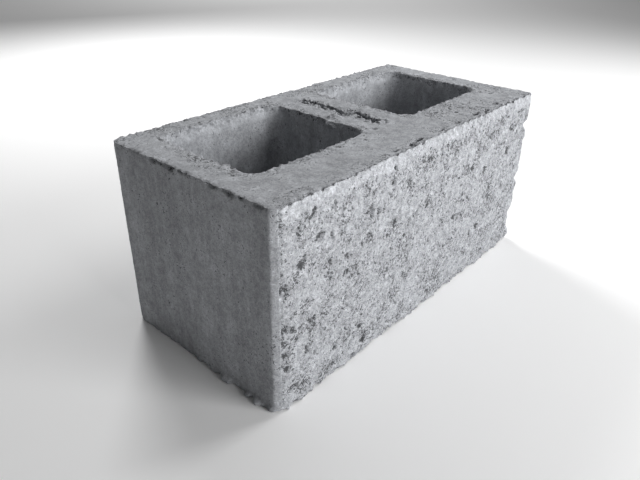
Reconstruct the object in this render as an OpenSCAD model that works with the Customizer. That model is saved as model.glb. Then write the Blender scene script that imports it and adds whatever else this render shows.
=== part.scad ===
// Two-core concrete block with one split face.
// Length runs along X, the split face looks along -Y and the block stands on Z = 0.

/* [Body] */
// overall length, end to end
body_length = 390; // [300:1:450]
// overall width, from the moulded back to the split face
body_width = 192; // [150:1:240]
// overall height, bed to bed
body_height = 178; // [90:1:240]
// radius of the two moulded upright corners at the back
back_corner_radius = 9; // [2:0.5:20]
// leg of the 45 degree bevel between each end and the split face
front_bevel = 6.5; // [2:0.5:12]

/* [Cores] */
// thickness of the shell behind the split face, at the top
front_shell = 53; // [35:1:60]
// thickness of the back shell, at the top
back_shell = 26; // [20:1:40]
// thickness of the web at each end, at the top
end_web = 30; // [20:1:45]
// thickness of the web between the two cores, at the top
middle_web = 60; // [30:1:80]
// radius of the upright corners of a core, at the top
core_corner_radius = 14; // [6:0.5:20]
// how far each core wall has leaned inward by the bottom
core_draft = 2; // [0:0.5:5]

/* [Score slot] */
// width of the slot along the top of the middle web
slot_width = 4; // [2:0.5:8]
// depth of the slot below the top bed
slot_depth = 20; // [5:1:60]
// distance from each end of the slot to the line of the core walls
slot_end_gap = 7; // [2:1:15]

/* [Hidden] */
over = 1;
half_length = body_length / 2;
half_width = body_width / 2;
core_length = (body_length - 2 * end_web - middle_web) / 2;
core_width = body_width - front_shell - back_shell;
core_x = (core_length + middle_web) / 2;
core_y = (front_shell - back_shell) / 2;
slot_length = core_width - 2 * slot_end_gap;
lean = core_draft / body_height;
corner_dx = core_length / 2 - core_corner_radius;
corner_dy = core_width / 2 - core_corner_radius;
$fn = 96;

// Plan of the block: square-cut back corners to take the rounds, bevelled front corners.
module plan() {
    polygon([
        [-half_length, half_width - back_corner_radius],
        [-half_length, -half_width + front_bevel],
        [-half_length + front_bevel, -half_width],
        [half_length - front_bevel, -half_width],
        [half_length, -half_width + front_bevel],
        [half_length, half_width - back_corner_radius],
        [half_length - back_corner_radius, half_width],
        [-half_length + back_corner_radius, half_width]
    ]);
    for (side = [-1, 1])
        translate([side * (half_length - back_corner_radius), half_width - back_corner_radius])
            circle(r = back_corner_radius);
}

// Upright slab between two parallel planes, its other two sides leaning in toward the bottom.
module leaning_slab(half_span, thickness) {
    top = half_span + lean * over;
    bottom = half_span - core_draft - lean * over;
    rotate([90, 0, 0])
        translate([0, 0, -thickness / 2])
            linear_extrude(height = thickness)
                polygon([
                    [-bottom, -over],
                    [bottom, -over],
                    [top, body_height + over],
                    [-top, body_height + over]
                ]);
}

// Void left by one core bar: it narrows toward the bottom and runs past both beds.
module core() {
    leaning_slab(core_length / 2, 2 * corner_dy);
    rotate([0, 0, 90])
        leaning_slab(core_width / 2, 2 * corner_dx);
    for (x = [-corner_dx, corner_dx], y = [-corner_dy, corner_dy])
        translate([x, y, -over])
            cylinder(
                h = body_height + 2 * over,
                r1 = core_corner_radius - core_draft - lean * over,
                r2 = core_corner_radius + lean * over
            );
}

// Narrow slot along the middle web, by which the block can be broken into two halves.
module score_slot() {
    translate([-slot_width / 2, core_y - slot_length / 2, body_height - slot_depth])
        cube([slot_width, slot_length, slot_depth + over]);
}

module block() {
    color([0.62, 0.63, 0.65])
        difference() {
            linear_extrude(height = body_height)
                plan();
            for (side = [-1, 1])
                translate([side * core_x, core_y, 0])
                    core();
            score_slot();
        }
}

block();
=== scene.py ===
import math

import bmesh
import bpy
import numpy as np
from mathutils import Matrix, Vector


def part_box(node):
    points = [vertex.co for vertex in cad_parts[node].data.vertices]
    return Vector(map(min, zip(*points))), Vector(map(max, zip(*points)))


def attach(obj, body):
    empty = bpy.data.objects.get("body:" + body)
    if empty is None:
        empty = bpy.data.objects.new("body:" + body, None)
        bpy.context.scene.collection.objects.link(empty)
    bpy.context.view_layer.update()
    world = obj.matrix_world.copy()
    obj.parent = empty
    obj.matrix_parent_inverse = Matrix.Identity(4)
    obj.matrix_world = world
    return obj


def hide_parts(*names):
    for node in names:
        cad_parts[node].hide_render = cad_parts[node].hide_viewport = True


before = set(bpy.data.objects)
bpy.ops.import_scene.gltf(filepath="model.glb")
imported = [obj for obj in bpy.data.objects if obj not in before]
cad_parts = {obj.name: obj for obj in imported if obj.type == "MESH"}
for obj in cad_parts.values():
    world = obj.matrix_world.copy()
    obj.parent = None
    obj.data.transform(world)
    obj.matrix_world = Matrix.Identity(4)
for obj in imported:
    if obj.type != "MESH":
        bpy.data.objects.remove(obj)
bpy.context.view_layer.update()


# ---------------------------------------------------------------- the cast block
# One casting of dry-mix concrete, pressed and shaken in a steel mould and stripped at once.
# The moulded CAD shape is copied and remeshed into an even skin of small faces, and each point's
# distance from every face of the mould is worked out, because each face is rough in its own way.
low, high = (np.array(corner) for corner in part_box("block"))
length, width, height = high - low
end_web, front_shell, back_shell, middle_web = 0.030, 0.053, 0.026, 0.060
core_radius, core_draft, bevel_leg = 0.014, 0.002, 0.0065
core_length = (length - 2 * end_web - middle_web) / 2
core_width = width - front_shell - back_shell
core_middle = np.array([(core_length + middle_web) / 2, (front_shell - back_shell) / 2])
skin_size = 0.0010

block = bpy.data.objects.new("concrete_block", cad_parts["block"].data.copy())
bpy.context.collection.objects.link(block)
shell = bmesh.new()
shell.from_mesh(block.data)
bmesh.ops.remove_doubles(shell, verts=shell.verts, dist=1e-6)
shell.to_mesh(block.data)
shell.free()

even_skin = block.modifiers.new("even skin", "REMESH")
even_skin.mode = "VOXEL"
even_skin.voxel_size = skin_size
even_skin.adaptivity = 0.0


def apply_modifiers(piece):
    """Makes what the piece's modifiers show its own mesh."""
    shown = piece.evaluated_get(bpy.context.evaluated_depsgraph_get())
    mesh = bpy.data.meshes.new_from_object(shown)
    piece.modifiers.clear()
    old, piece.data = piece.data, mesh
    bpy.data.meshes.remove(old)


def read(collection, field, parts):
    """One row of numbers for each item of a mesh's points, normals or corners."""
    values = np.empty(len(collection) * parts, dtype=np.float32)
    collection.foreach_get(field, values)
    return values.reshape(-1, parts).astype(np.float64)


def core_gap(at):
    """Distance from each point to the nearer core's wall, into the concrete."""
    lean = core_draft * (1 - at[:, 2] / height)
    beyond = np.abs(np.stack([np.abs(at[:, 0]) - core_middle[0], at[:, 1] - core_middle[1]], axis=1))
    beyond -= np.array([core_length, core_width]) / 2 - core_radius
    inside = np.minimum(beyond.max(axis=1), 0)
    return np.linalg.norm(np.maximum(beyond, 0), axis=1) + inside - core_radius + lean


apply_modifiers(block)
spots = read(block.data.vertices, "co", 3)
outward = read(block.data.vertex_normals, "vector", 3)
x, y, z = spots.T
to_top, to_bottom = height - z, z
to_front, to_back, to_end = y - low[1], high[1] - y, length / 2 - np.abs(x)
to_bevel = (to_front + to_end - bevel_leg) / math.sqrt(2)
to_side = np.minimum.reduce([to_front, to_back, to_end, to_bevel])
gap = core_gap(spots)
to_core = np.abs(gap)
step = 0.0005
into_wall = np.stack([core_gap(spots + (step, 0, 0)) - gap,
                      core_gap(spots + (0, step, 0)) - gap, 0 * gap], axis=1) / step
to_second_face = np.sort(np.stack([to_top, to_bottom, np.abs(to_side), to_core]), axis=0)[1]
moved = np.zeros_like(spots)


# ---------------------------------------------------------------- the split face
# The long front face was never moulded: the block was cast as half of a twin and broken off it,
# so it shows torn cement paste, broken stone and opened air holes. Two seeded fields give its
# roughness, soft lumps and cells like packed stones, and the larger hollows are listed one by one.
def lumps(at, size, seed):
    """Soft random field, about -1 to 1, with lumps about `size` across."""
    table = np.random.default_rng(seed).normal(size=(4096, 3))
    table /= np.linalg.norm(table, axis=1, keepdims=True)
    grid = at / size
    cell = np.floor(grid).astype(np.int64)
    part = grid - cell
    ease = part * part * part * (part * (part * 6 - 15) + 10)
    total = np.zeros(len(at))
    for corner in np.ndindex(2, 2, 2):
        key = (cell + corner) * (73856093, 19349663, 83492791)
        arrow = table[(key[:, 0] ^ key[:, 1] ^ key[:, 2]) & 4095]
        share = np.prod(np.where(corner, ease, 1 - ease), axis=1)
        total += share * np.einsum("ij,ij->i", arrow, part - corner)
    return total * 1.6


def stones(at, size, seed):
    """Cells like packed stones: each point's distance from its stone's middle, and a number per stone."""
    table = np.random.default_rng(seed).random((4096, 4))
    grid = at / size
    cell = np.floor(grid).astype(np.int64)
    near = np.full(len(at), 9.0)
    number = np.zeros(len(at))
    for offset in np.ndindex(3, 3, 3):
        here = cell + np.array(offset) - 1
        key = here * (73856093, 19349663, 83492791)
        drawn = table[(key[:, 0] ^ key[:, 1] ^ key[:, 2]) & 4095]
        apart = np.linalg.norm(here + drawn[:, :3] - grid, axis=1)
        number = np.where(apart < near, drawn[:, 3], number)
        near = np.minimum(apart, near)
    return near, number


def ramp(value, start, end):
    """0 before start, 1 after end, and a smooth rise between."""
    t = np.clip((value - start) / (end - start), 0, 1)
    return t * t * (3 - 2 * t)


def shaken(size, amount, seeds):
    """The block's points pushed about at random, so that what is placed with them has a crooked outline."""
    return spots + amount * np.stack([lumps(spots, size, seed) for seed in seeds], axis=1)


def hollows(along, up, marks):
    """How far into a hollow each point lies, 0 to 1, and its depth in mm, for a given list in mm."""
    share, depth = np.zeros(len(along)), np.zeros(len(along))
    for at_along, at_up, across, tall, deep, tilt in marks:
        turn = math.radians(tilt)
        du, dv = along * 1000 - at_along, up * 1000 - at_up
        u, v = du * math.cos(turn) + dv * math.sin(turn), dv * math.cos(turn) - du * math.sin(turn)
        here = np.maximum(1 - np.hypot(u / across, v / tall) * 1.6, 0)
        share = np.maximum(share, here)
        depth = np.maximum(depth, deep * np.minimum(here * 1.8, 1))
    return share, depth


face = spots * (1, 0, 1)
bed = spots * (1, 1, 0)
crooked = shaken(0.0036, 0.0016, (3, 4, 5))
ragged = shaken(0.0030, 0.0028, (50, 51, 52))

# The break swells by a millimetre or two over a hand's width, and its grit is 7 mm stones and 2 mm sand.
stone_size = 0.0070
swell = 0.0014 * lumps(face, 0.110, 1) + 0.0009 * lumps(face, 0.040, 2)
stone, stone_number = stones(crooked * (1, 0, 1), stone_size, 6)
grit = 0.0010 * (0.5 - stone) * (0.2 + stone_number)
grit += 0.00045 * lumps(face, 0.0026, 7) + 0.00035 * lumps(face, 0.0015, 8)

# Some patches lost more than others: stones torn out in mm, and smaller nicks.
patchy = ramp(lumps(face, 0.026, 13), -0.45, 0.45)
torn_out = np.maximum(-lumps(crooked * (1, 1, 0.8), 0.0058, 11) - 0.62 + 0.16 * patchy, 0) * 6
nicks = np.maximum(-lumps(crooked, 0.0029, 12) - 0.46 + 0.18 * patchy, 0) * 3

# The larger hollows left by lost stones and trapped air: middle along and up, across, high, deep, tilt.
lost, lost_depth = hollows(ragged[:, 0], ragged[:, 2], [
    (-94, 142, 11, 4, 3, 8), (-82, 137, 4, 8, 3, 0), (-152, 142, 14, 6, 3, 25), (-162, 160, 5, 6, 2, 0),
    (-157, 165, 8, 4, 2, 30), (-174, 157, 4, 10, 2, 5), (-171, 129, 9, 9, 3, 0), (-140, 103, 8, 8, 3, 0),
    (-119, 98, 7, 8, 3, -20), (-118, 112, 9, 8, 2, 40), (-188, 113, 8, 11, 4, 0), (-68, 92, 10, 4, 2, 0),
    (-157, 74, 8, 5, 3, 30), (-187, 79, 7, 7, 4, -30), (-180, 76, 4, 8, 3, 0), (-187, 66, 7, 8, 3, 0),
    (-185, 55, 12, 5, 3, 30), (-164, 48, 5, 9, 3, -10), (-186, 42, 6, 6, 3, 0), (-183, 20, 9, 6, 3, 20),
    (-92, 15, 10, 5, 3, 0), (-104, 4, 7, 7, 3, 0), (-56, 115, 6, 4, 2, 20), (153, 150, 14, 8, 4, 0),
    (-9, 160, 8, 5, 3, 0), (48, 85, 13, 6, 3, 0), (102, 118, 8, 9, 2, 20), (-32, 109, 5, 8, 2, 0),
    (73, 128, 8, 5, 2, 0), (106, 153, 8, 6, 2, 0), (102, 54, 9, 6, 2, 0), (149, 125, 7, 9, 2, 0),
])

# In mm, the break stands out in a crest along the top, a lumpy lip along the bottom and a rim down the left.
bottom_lip = 1.2 + 2.6 * np.clip(lumps(bed, 0.011, 18) + 0.5 * lumps(bed, 0.005, 19), -0.6, 1)
top_crest = 2.4 * (0.4 + 0.6 * ramp(x, -0.14, -0.04)) * (1 + 0.9 * lumps(spots * (1, 0, 0), 0.008, 60))
left_edge = ramp(x, low[0] + 0.012, low[0] + 0.005)
crest = top_crest * ramp(to_top, 0.009, 0.0) + bottom_lip * ramp(to_bottom, 0.008, 0.0) + left_edge

mean_plane = 0.0004
deepest = 5.0
split = ramp(to_front, 0.010, 0.0002) * ramp(to_end, 0.0038, 0.0054)
facing = ramp(-outward[:, 1], 0.3, 0.8)
moved[:, 1] -= split * (swell + grit - mean_plane - crest / 1000)
sunk = np.minimum(torn_out * (0.5 + patchy) + nicks + 0.75 * lost_depth, deepest)
moved[:, 1] += split * facing * sunk / 1000

# The right-hand corner broke unevenly, in mm: a lumpy line with an ear standing out at the top, above a
# step 28 mm down, a foot at the bottom, and notches between, each by its height, depth and half height.
ear_depth, ear_shelf = 0.028, 8.0
ear = ramp(z, height - ear_depth - 0.0025, height - ear_depth + 0.0010)
upright_line = spots * (0, 0, 1)
broken = (1 - 0.7 * ear) * (1.5 * lumps(upright_line, 0.016, 14) + 1.3 * lumps(upright_line, 0.006, 15))
for at_height, inward, half_height in ((127, 4, 4), (84, 6, 4), (40, 3, 5), (30, 3, 12)):
    broken += inward * np.exp(-((z * 1000 - at_height) / half_height) ** 2)
broken += ear_shelf * ramp(z, 0.133, 0.147) * (1 - ear) - ear - 1.5 - ramp(to_bottom, 0.022, 0.014)
moved[:, 0] -= broken / 1000 * ramp(x, high[0] - 0.024, high[0] - 0.006) * ramp(to_front, 0.026, 0.0)

# Chips up to 5 mm high broke out of the bottom edge.
bottom_chips = np.clip(lumps(bed, 0.010, 16) + 0.6 * lumps(bed, 0.0045, 17), 0, 1)
moved[:, 2] += 0.0050 * ramp(to_bottom, 0.009, 0.0) * ramp(to_front, 0.012, 0.0) * bottom_chips


# ---------------------------------------------------------------- the score slot
# A thin plate in the mould leaves a slot along the middle web, so that the block can be halved.
# It tore as the plate was drawn: it breaks into two stretches, shifted to the left at the back and
# to the right at the front, its walls lost up to 3 mm, and crumbs stand along its lips.
slot_end_gap, slot_end_round = 0.007, 0.006
slot_back = core_middle[1] + core_width / 2 - slot_end_gap
slot_front = core_middle[1] - core_width / 2 + slot_end_gap
back_shift, front_shift = 0.0055, 0.0040
in_front = ramp(y - 1.5 * x, 0.0025, -0.0025)
jog = front_shift * ramp(y, -0.022, -0.005) * in_front - back_shift * ramp(y, 0.024, 0.001) * (1 - in_front)
jog += 0.0008 * lumps(spots * (0, 1, 0), 0.009, 40)
slot_run = (ramp(y, slot_front - slot_end_round, slot_front)
            * ramp(y, slot_back + slot_end_round, slot_back))
by_slot = ramp(np.abs(x), 0.016, 0.004) * slot_run
in_slot = ramp(np.abs(x), 0.0045, 0.003) * slot_run * ramp(to_top, 0.0225, 0.0215)
widened = 0.0022 + 0.0013 * lumps(spots * (0.2, 1, 1), 0.005, 41)
moved[:, 0] += jog * by_slot + in_slot * np.sign(x) * widened
slot_lips = by_slot * ramp(to_top, 0.006, 0.001)


# ---------------------------------------------------------------- the moulded faces
# Struck and rubbed by steel: nearly flat, with a faint upright drag of the mould, rougher towards the
# rims and along the back of the top, and pricked by a few open air holes.
def holes(at, spacing, radius, seed):
    """Air holes cut open by the surface: how deep each point lies in one, as a share of the radius."""
    table = np.random.default_rng(seed).random((4096, 4))
    grid = at / spacing
    cell = np.floor(grid).astype(np.int64)
    deep = np.zeros(len(at))
    for offset in np.ndindex(3, 3, 3):
        here = cell + np.array(offset) - 1
        key = here * (73856093, 19349663, 83492791)
        drawn = table[(key[:, 0] ^ key[:, 1] ^ key[:, 2]) & 4095]
        reach = radius / spacing * drawn[:, 3] ** 1.5
        apart = np.linalg.norm(here + drawn[:, :3] - grid, axis=1)
        deep = np.maximum(deep, np.sqrt(np.maximum(reach * reach - apart * apart, 0)))
    return deep * spacing / radius


torn = split * facing
plain = 1 - torn
upright_face = ramp(np.abs(outward[:, 2]), 0.7, 0.3)
faces_up = ramp(outward[:, 2], 0.4, 0.9)
core_drag = 0.00050 * ramp(to_core, 0.003, 0.001) * lumps(spots * (1, 1, 0.08), 0.0090, 27)
drag = (0.00022 * lumps(spots * (1, 1, 0.10), 0.0042, 20) + core_drag) * upright_face
wave = 0.00022 * lumps(spots, 0.022, 21) + 0.00013 * lumps(spots, 0.0026, 22)

near_rim = ramp(to_core, 0.016, 0.002) + ramp(to_front, 0.020, 0.004) + ramp(to_back, 0.014, 0.002)
near_rim += 1.2 * ramp(x, 0.01, 0.07) * ramp(y, -0.02, -0.05) + 0.7 * ramp(y, 0.060, 0.080)
wall_top = ramp(to_core, 0.003, 0.001) * ramp(to_top, 0.014, 0.004)
on_bevel = ramp(to_front + to_end, bevel_leg + 0.003, bevel_leg + 0.001) * (1 - faces_up)
rough = ramp(lumps(spots, 0.024, 23) + 0.8 * near_rim, 0.22, 0.80) * faces_up
rough = np.clip(rough + 0.5 * wall_top + 0.55 * on_bevel, 0, 1)

# Hollows in the top face, most of them along its front, and chips under the top edge of the left end.
top_lost, top_depth = hollows(crooked[:, 0], crooked[:, 1], [
    (-87, -60, 4, 3, 1, 0), (-62, -53, 4, 3, 1, 0), (-48, -55, 4, 3, 1, 0), (-20, -43, 5, 4, 2, 0),
    (0, -40, 5, 4, 2, 0), (-91, 66, 8, 5, 3, 0), (-52, -88, 8, 5, 3, 0), (-17, -87, 11, 6, 3, 0),
    (19, -88, 9, 5, 3, 0), (83, -86, 11, 6, 3, 0), (100, -89, 8, 5, 3, 0), (60, -50, 4, 3, 1, 0),
    (-32, -89, 7, 5, 3, 0), (48, -88, 8, 5, 3, 0), (128, -84, 9, 5, 3, 0), (160, -62, 6, 4, 2, 0),
])
end_lost, end_depth = hollows(crooked[:, 1], crooked[:, 2], [
    (37, 178, 10, 6, 3, 0), (27, 178, 6, 5, 2, 0), (16, 178, 10, 7, 3, 0), (3, 178, 6, 4, 2, 0),
    (-33, 178, 8, 6, 3, 0), (-49, 178, 11, 6, 3, 10), (-62, 178, 6, 4, 2, 0), (-80, 178, 9, 6, 3, 0),
])
on_top = faces_up * ramp(to_top, 0.006, 0.002)
on_left_end = ramp(-outward[:, 0], 0.2, 0.7) * ramp(x, low[0] + 0.003, low[0] + 0.001)
lost_here = np.maximum(top_lost * on_top, end_lost * on_left_end)
depth_here = np.maximum(top_depth * on_top, end_depth * on_left_end)

hole_spacing, hole_radius = 0.0085, 0.0022
uneven = spots + 0.0008 * lumps(spots, 0.002, 26)[:, None]
air = holes(uneven, hole_spacing, hole_radius, 24) * rough
sandy = 0.00045 * rough * lumps(spots, 0.0028, 25)
moved += outward * (plain * (wave + drag + sandy - 0.0014 * air - depth_here / 1000))[:, None]


# ---------------------------------------------------------------- the worn rims and arrises
# Where two faces meet, the green concrete crumbled as the mould came off: the rims of the cores
# flare and carry crumbs, most along the back, the outer arrises lost small chips, and a thin
# flash of paste was squeezed out under the left end.
on_back_wall = ramp(into_wall[:, 1], 0.2, 0.9)
loose = 0.18 + 0.75 * on_back_wall * (0.5 + ramp(lumps(bed, 0.014, 36), -0.4, 0.4))
by_rim = ramp(to_top, 0.011, 0.0) * ramp(gap, 0.0080, 0.0) * loose
moved += into_wall * (0.0032 * by_rim)[:, None]
moved[:, 2] -= 0.0005 * by_rim * ramp(gap, 0.0030, 0.0)

web_lump_middle, web_lump_reach = (-0.026, 0.001, height), 0.014
web_lump = ramp(np.linalg.norm(spots - web_lump_middle, axis=1), web_lump_reach, 0.006)
rim_crumbs = ramp(to_core, 0.009, 0.001) * ramp(to_top, 0.007, 0.001) * (0.5 + 0.7 * loose)
crumbly = 0.5 * web_lump + rim_crumbs + 1.4 * slot_lips
crumb = lumps(spots, 0.0046, 32) + 0.7 * lumps(spots, 0.0023, 33)
moved += outward * (0.0015 * crumbly * np.clip(crumb, -0.7, 1.2))[:, None]

# The top edge over the split face is broken down in places, and the back one carries a few crumbs.
edge_loss = np.clip(lumps(bed, 0.0070, 61) + 0.6 * lumps(spots, 0.0030, 62), 0, 1)
moved[:, 2] -= 0.0026 * ramp(to_front, 0.008, 0.0005) * ramp(to_top, 0.004, 0.0) * edge_loss
moved[:, 2] += 0.0018 * ramp(to_back, 0.006, 0.001) * ramp(to_top, 0.003, 0.001) * np.clip(crumb - 0.2, 0, 1)

arris = ramp(to_second_face, 0.0035, 0.0002)
chip = np.clip(lumps(spots, 0.0075, 30) + 0.6 * lumps(spots, 0.0030, 31), 0, 1)
chipped = arris * (1 - 0.7 * torn) * ramp(to_core, 0.003, 0.006)
moved -= outward * (chipped * (0.0002 + 0.0020 * chip))[:, None]

flash = ramp(to_bottom, 0.007, 0.001) * ramp(x, low[0] + 0.006, low[0] + 0.001)
flash *= ramp(y, 0.012, -0.012) * ramp(y, -0.093, -0.080)
moved[:, 0] -= flash * 0.0055 * np.clip(lumps(spots, 0.009, 34) + 0.4 * lumps(spots, 0.004, 35) + 0.3, 0, 1)

# Lumps and dents that stand out by themselves: middle, reach and push, in mm.
for middle, reach, push in (
    ((-31, -2, 177), 9, (-4, 0, 0)), ((-20, 3, 178), 9, (0, 0, 2)), ((-161, 60, 178), 7, (2, -2, 2)),
    ((-151, 63, 178), 6, (1, -2, 2)), ((-165, 8, 178), 7, (-2, 0, -1)), ((-166, -18, 178), 8, (2, 0, 0)),
    ((37, 60, 178), 11, (4, -4, 0)), ((189, -94, 8), 12, (3, -1, 0)),
    ((-92, 70, 178), 7, (0, 3, -3)), ((14, 3, 178), 7, (0, 0, -2)),
):
    apart = np.linalg.norm(spots * 1000 - middle, axis=1) / reach
    moved += (np.maximum(1 - apart * apart, 0) ** 2 * (1 + 0.25 * crumb) / 1000)[:, None] * push

block.data.vertices.foreach_set("co", (spots + moved).astype(np.float32).ravel())


def keep(name, values):
    """Keeps one number per point on the mesh, for the material to read."""
    block.data.attributes.new(name, "FLOAT", "POINT").data.foreach_set("value", values.astype(np.float32))


# What the material needs to know: where the face is torn, how much painted shade a hollow, air hole or chip
# gets or, below 0, how much painted highlight the top crest of the break, the tops of the core walls and the
# bevel get, and how rough the moulded paste is.
# Painted shade: the hollows of the break, the air holes, the chips and the hollows of the moulded faces are
# marked to be darkened.
torn_hollow_shade = torn * np.maximum(lost, 0.3 * torn_out + 0.2 * nicks)
moulded_hollow_shade = plain * np.maximum(np.maximum(lost_here, air), 0.6 * arris * chip)
# Painted highlight: the bevel, the tops of the core walls and the crest along the top of the break are made
# paler.
painted_highlight = 0.2 * on_bevel + 0.35 * wall_top * loose + 0.5 * torn * ramp(to_top, 0.013, 0.004)
keep("torn", np.clip(0.5 + (0.0018 - to_front) / 0.008, 0, 1))
keep("painted_shade_and_highlight", np.clip(torn_hollow_shade + moulded_hollow_shade - painted_highlight, -0.3, 1))
keep("rough", np.clip(rough + 0.7 * crumbly, 0, 1))
block.data.update()


# ---------------------------------------------------------------- the finished skin
# The worked skin is thinned to what its shapes need. Shading follows its larger faces, so the flat
# moulded faces stay flat right up to their arrises.
most_triangles = 194000
thin = block.modifiers.new("thin skin", "DECIMATE")
thin.decimate_type = "COLLAPSE"
thin.ratio = most_triangles / (2 * len(block.data.polygons))
thin.use_collapse_triangulate = True
apply_modifiers(block)
block.data.shade_smooth()

flat_shading = block.modifiers.new("flat faces", "WEIGHTED_NORMAL")
flat_shading.mode = "FACE_AREA"
flat_shading.weight = 50
apply_modifiers(block)

# Every moulded face gets a flat patch of the texture map, and the torn face the largest one, so that a
# baked map keeps the grain. A patch is how far each triangle lies from it, the axes across and up it,
# its left and bottom on the map, and how much of the map a metre takes.
at = read(block.data.vertices, "co", 3)
corners = read(block.data.loops, "vertex_index", 1).astype(int)[:, 0]
middles = at[corners].reshape(-1, 3, 3).mean(axis=1)
mx, my, mz = middles.T
torn_scale, face_scale = 2.42, 1.005
core_scale = face_scale * 0.88
patch_space, walls_bottom = 0.012, 0.828
patches = [
    (np.abs(my - low[1]), 0, 2, 0.004, 0.002, torn_scale),
    (np.abs(my - high[1]), 0, 2, 0.0, 0.643, face_scale),
    (np.abs(mx - low[0]), 1, 2, 0.41, 0.643, face_scale),
    (np.abs(mx - high[0]), 1, 2, 0.805, 0.442, face_scale),
    (np.abs(mz - high[2]), 0, 1, 0.0, 0.442, face_scale),
    (np.abs(mz - low[2]), 0, 1, 0.402, 0.442, face_scale),
]
wall_gap = np.abs(core_gap(middles))
beyond_side = np.abs(np.abs(mx) - core_middle[0]) - core_length / 2
beyond_back = np.abs(my - core_middle[1]) - core_width / 2
on_side_wall = beyond_side > beyond_back
far = 9.0
left_on_map = 0.0
for core in (-1, 1):
    for axis in (0, 1):
        for way in (-1, 1):
            middle = (core * core_middle[0], core_middle[1])[axis]
            mine = (np.sign(mx) == core) & (on_side_wall == (axis == 0))
            mine &= np.sign(middles[:, axis] - middle) == way
            distance = np.where(mine, wall_gap, far)
            patches.append((distance, 1 - axis, 2, left_on_map, walls_bottom, core_scale))
            left_on_map += (core_length, core_width)[1 - axis] * core_scale + patch_space
slot_walls = (np.abs(mx) < 0.009) & (mz > height - 0.024) & (mz < height - 0.0015)
slot_walls &= (my > slot_front - 0.004) & (my < slot_back + 0.004)
for way, left_on_map in ((-1, 0.70), (1, 0.82)):
    distance = np.where(slot_walls & (np.sign(mx) == way), -1, far)
    patches.append((distance, 1, 2, left_on_map, 0.643, face_scale))
nearest = np.argmin(np.stack([patch[0] for patch in patches]), axis=0).repeat(3)
spread = np.empty((len(corners), 2))
for number, (_, across, up, left, bottom, scale) in enumerate(patches):
    mine = nearest == number
    flat = at[corners[mine]][:, (across, up)]
    spread[mine] = (flat - flat.min(axis=0)) * scale + (left, bottom)
block.data.uv_layers.new(name="OFBake").data.foreach_set("uv", spread.astype(np.float32).ravel())


# ---------------------------------------------------------------- dry-cast concrete
# Grey cement paste over crushed stone and sand, with no gloss: the moulded faces are even and a little
# darker, and the torn face is paler and speckled, because it shows broken grains, and the gaps between them
# get painted shade.
def linear(hex_code):
    """An sRGB hex colour as linear red, green, blue and 1."""
    channels = [int(hex_code[i:i + 2], 16) / 255 for i in (1, 3, 5)]
    return [c / 12.92 if c <= 0.04045 else ((c + 0.055) / 1.055) ** 2.4 for c in channels] + [1.0]


concrete = bpy.data.materials.new("dry_cast_concrete")
concrete.use_nodes = True
tree = concrete.node_tree
tree.nodes.clear()


def add(kind, settings, links, output=0):
    """Adds a node with its settings, socket values and links, and gives back one of its outputs."""
    node = tree.nodes.new("ShaderNode" + kind)
    for name, value in settings.items():
        if isinstance(name, str) and hasattr(node, name):
            setattr(node, name, value)
        else:
            node.inputs[name].default_value = value
    for name, source in links.items():
        tree.links.new(source, node.inputs[name])
    return node.outputs[output] if node.outputs else None


place = add("TexCoord", {}, {}, "Object")
torn_here = add("Attribute", {"attribute_name": "torn"}, {}, "Fac")
painted_light_here = add("Attribute", {"attribute_name": "painted_shade_and_highlight"}, {}, "Fac")
rough_here = add("Attribute", {"attribute_name": "rough"}, {}, "Fac")

# A pattern's scale is 1000 over the size of its lumps in mm. Where the torn face and the rough patches
# end is a ragged line, shaken by 3 mm lumps.
edge_noise = add("TexNoise", {"Scale": 1000 / 3.03, "Detail": 2.0, "Roughness": 0.6}, {"Vector": place})
ragged_edge = add("MapRange", {"To Min": -0.42, "To Max": 0.42}, {"Value": edge_noise})
torn_edge = add("Math", {"operation": "ADD"}, {0: torn_here, 1: ragged_edge})
torn_mask = add("MapRange", {"From Min": 0.47, "From Max": 0.53}, {"Value": torn_edge})
rough_edge = add("Math", {"operation": "ADD"}, {0: rough_here, 1: ragged_edge})
rough_mask = add("MapRange", {"From Min": 0.42, "From Max": 0.62, "To Max": 0.85}, {"Value": rough_edge})

# Torn paste and broken stone: speckles of every size from 7 mm down, facets of 3 mm stones with
# outlines shaken by up to 4 mm, and 1 mm sand.
speckle_noise = add("TexNoise", {"Scale": 1000 / 6.67, "Detail": 4.0, "Roughness": 1.0}, {"Vector": place})
speckle = add("MapRange", {"From Min": 0.36, "From Max": 0.64, "To Min": 0.74, "To Max": 1.27},
              {"Value": speckle_noise})
facet_noise = add("TexNoise", {"Scale": 1000 / 3.33, "Detail": 2.0}, {"Vector": place}, "Color")
facet_shake = add("VectorMath", {"operation": "SCALE", "Scale": 0.004}, {0: facet_noise})
facet_place = add("VectorMath", {"operation": "ADD"}, {0: place, 1: facet_shake})
facets = add("TexVoronoi", {"Scale": 1000 / 3.33, "Randomness": 1.0}, {"Vector": facet_place}, "Color")
facet_tone = add("MapRange", {"From Min": 0.2, "From Max": 0.8, "To Min": 0.86, "To Max": 1.14},
                 {"Value": facets})
sand = add("TexNoise", {"Scale": 1000 / 1.05, "Detail": 1.0, "Roughness": 0.6}, {"Vector": place})
torn_sand = add("MapRange", {"From Min": 0.3, "From Max": 0.7, "To Min": 0.80, "To Max": 1.20},
                {"Value": sand})
torn_tone = add("Math", {"operation": "MULTIPLY"}, {0: speckle, 1: facet_tone})
torn_tone = add("Math", {"operation": "MULTIPLY"}, {0: torn_tone, 1: torn_sand})

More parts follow.
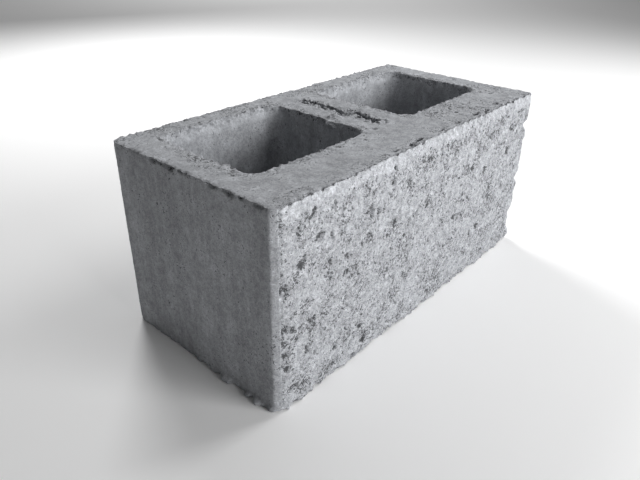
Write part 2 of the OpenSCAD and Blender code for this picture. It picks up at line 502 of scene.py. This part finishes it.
# Moulded paste: the mould's upright drag in streaks 9 and 17 mm wide and seven times as long, clouds
# from 17 mm down, and fainter sand.
smear = add("Mapping", {"Scale": (1, 1, 0.15)}, {"Vector": place})
streak_noise = add("TexNoise", {"Scale": 1000 / 9.09, "Detail": 4.0, "Roughness": 0.9}, {"Vector": smear})
streak = add("MapRange", {"From Min": 0.38, "From Max": 0.62, "To Min": 0.91, "To Max": 1.09},
             {"Value": streak_noise})
broad_noise = add("TexNoise", {"Scale": 1000 / 16.7, "Detail": 2.0, "Roughness": 0.5}, {"Vector": smear})
broad = add("MapRange", {"From Min": 0.38, "From Max": 0.62, "To Min": 0.93, "To Max": 1.07},
            {"Value": broad_noise})
cloud_noise = add("TexNoise", {"Scale": 1000 / 16.7, "Detail": 5.0, "Roughness": 1.0}, {"Vector": place})
cloud = add("MapRange", {"From Min": 0.38, "From Max": 0.62, "To Min": 0.76, "To Max": 1.22},
            {"Value": cloud_noise})
plain_sand = add("MapRange", {"From Min": 0.3, "From Max": 0.7, "To Min": 0.84, "To Max": 1.16},
                 {"Value": sand})
plain_tone = add("Math", {"operation": "MULTIPLY"}, {0: streak, 1: broad})
plain_tone = add("Math", {"operation": "MULTIPLY"}, {0: plain_tone, 1: cloud})
plain_tone = add("Math", {"operation": "MULTIPLY"}, {0: plain_tone, 1: plain_sand})
moulded_tone = add("Mix", {"data_type": "FLOAT"}, {"Factor": rough_mask, 2: plain_tone, 3: torn_tone})
tone = add("Mix", {"data_type": "FLOAT"}, {"Factor": torn_mask, 2: moulded_tone, 3: torn_tone})

# Dark flecks, 2 to 4 mm apart, are partly dark broken grains and partly painted shade in the small deep gaps
# between grains.
# They gather in 17 mm clusters and, as painted shade, in the hollows, and are rare on the moulded paste.
small_noise = add("TexNoise", {"Scale": 1000 / 2.38, "Detail": 3.0, "Roughness": 0.8, "Distortion": 0.9},
                  {"Vector": place})
small_fleck = add("MapRange", {"To Min": 0.85, "To Max": -0.85}, {"Value": small_noise})
large_noise = add("TexNoise", {"Scale": 1000 / 4.17, "Detail": 2.0, "Roughness": 0.7, "Distortion": 0.6},
                  {"Vector": place})
large_fleck = add("MapRange", {"To Min": 0.62, "To Max": -0.82}, {"Value": large_noise})
fleck = add("Math", {"operation": "MAXIMUM"}, {0: small_fleck, 1: large_fleck})
cluster_noise = add("TexNoise", {"Scale": 1000 / 16.7, "Detail": 2.0, "Roughness": 0.6}, {"Vector": place})
cluster = add("MapRange", {"From Min": 0.35, "From Max": 0.65, "To Min": -0.095, "To Max": 0.075},
              {"Value": cluster_noise})
depth = add("Math", {"operation": "ADD"}, {0: fleck, 1: cluster})
# Hollows, air holes and chips marked on the mesh get more painted shade.
depth = add("Math", {"operation": "MULTIPLY_ADD", 1: 0.34}, {0: painted_light_here, 2: depth})
depth = add("Math", {"operation": "MULTIPLY_ADD", 1: 0.13}, {0: rough_mask, 2: depth})
closed = add("Mix", {"data_type": "FLOAT", 2: -0.12, 3: 0.0}, {"Factor": torn_mask})
depth = add("Math", {"operation": "ADD"}, {0: depth, 1: closed})
shade = add("MapRange", {"From Min": 0.095, "From Max": 0.140, "To Min": 1.0, "To Max": 0.24},
            {"Value": depth})
# Points marked below 0 get a painted highlight, up to 14 % paler.
highlight_gain = add("MapRange", {"From Min": -0.3, "From Max": 0.0, "To Min": 1.14, "To Max": 1.0},
               {"Value": painted_light_here})
tone = add("Math", {"operation": "MULTIPLY"}, {0: tone, 1: shade})
tone = add("Math", {"operation": "MULTIPLY"}, {0: tone, 1: highlight_gain})

moulded_grey, torn_grey = linear("#A2A4A8"), linear("#A5A7AB")
paste = add("Mix", {"data_type": "RGBA", 6: moulded_grey, 7: torn_grey}, {"Factor": torn_mask}, 2)
colour = add("VectorMath", {"operation": "SCALE"}, {0: paste, "Scale": tone})

# Sand grains of 1.25 mm stand up by most of a millimetre on the torn face, and by a third of that elsewhere.
grain_share = add("Mix", {"data_type": "FLOAT", 2: 0.3, 3: 1.0}, {"Factor": torn_mask})
grain_noise = add("TexNoise", {"Scale": 1000 / 1.25, "Detail": 2.0, "Roughness": 0.7}, {"Vector": place})
grain = add("Math", {"operation": "MULTIPLY"}, {0: grain_noise, 1: grain_share})
grain_bump = add("Bump", {"Strength": 0.8, "Distance": 0.0008}, {"Height": grain})
matt_paste = add("BsdfPrincipled", {"Roughness": 0.92, "Specular IOR Level": 0.25},
                 {"Base Color": colour, "Normal": grain_bump})
add("OutputMaterial", {}, {"Surface": matt_paste})
block.data.materials.clear()
block.data.materials.append(concrete)

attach(block, "root")
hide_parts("block")


# ---------------------------------------------------------------- the floor, the lights and the camera
# The block stands on a wide matt white floor in a white room, lit by five round softboxes, and the
# camera looks down on it from the left of the split face.
floor_mesh = bpy.data.meshes.new("floor")
disc = bmesh.new()
bmesh.ops.create_circle(disc, cap_ends=True, segments=96, radius=12.0)
disc.to_mesh(floor_mesh)
disc.free()
floor = bpy.data.objects.new("floor", floor_mesh)
bpy.context.collection.objects.link(floor)
paper = bpy.data.materials.new("matt_white_paper")
paper.use_nodes = True
paper_surface = paper.node_tree.nodes["Principled BSDF"]
paper_surface.inputs["Base Color"].default_value = linear("#FAFAFA")
paper_surface.inputs["Roughness"].default_value = 1.0
floor_mesh.materials.append(paper)

world = bpy.data.worlds.new("studio")
world.use_nodes = True
world.node_tree.nodes["Background"].inputs["Color"].default_value = (1, 1, 1, 1)
world.node_tree.nodes["Background"].inputs["Strength"].default_value = 0.095
bpy.context.scene.world = world
bpy.context.scene.view_settings.view_transform = "Standard"


def softbox(name, place, watts, aim=(0.05, 0, 0.10)):
    """Adds a round softbox, 0.6 m across, aimed at the middle of the block unless told otherwise."""
    lamp = bpy.data.lights.new(name, "AREA")
    lamp.shape = "DISK"
    lamp.size = 0.6
    lamp.energy = watts
    box = bpy.data.objects.new(name, lamp)
    box.location = place
    box.rotation_euler = (Vector(place) - Vector(aim)).to_track_quat("Z", "Y").to_euler()
    box.visible_camera = False
    bpy.context.collection.objects.link(box)


softbox("front_low", (-0.10, -1.40, 0.35), 9.5)
softbox("front_high", (0.40, -1.40, 0.75), 10.5)
softbox("right", (1.20, -0.42, 0.96), 10.0)
softbox("behind", (0.47, 1.15, 0.96), 15.0)
softbox("backdrop", (1.9, 1.9, 1.8), 22.0, (2.6, 2.6, 0))

camera = bpy.data.cameras.new("camera")
camera.sensor_width = 36
camera.lens = 32.75
camera_object = bpy.data.objects.new("camera", camera)
yaw, pitch, roll = math.radians(49.21), math.radians(29.32), math.radians(1.09)
ahead = Vector((math.sin(yaw) * math.cos(pitch), math.cos(yaw) * math.cos(pitch), -math.sin(pitch)))
aimed = ahead.to_track_quat("-Z", "Y").to_matrix() @ Matrix.Rotation(roll, 3, "Z")
camera_object.matrix_world = Matrix.Translation((-0.42379, -0.3306, 0.34199)) @ aimed.to_4x4()
bpy.context.collection.objects.link(camera_object)
bpy.context.scene.camera = camera_object
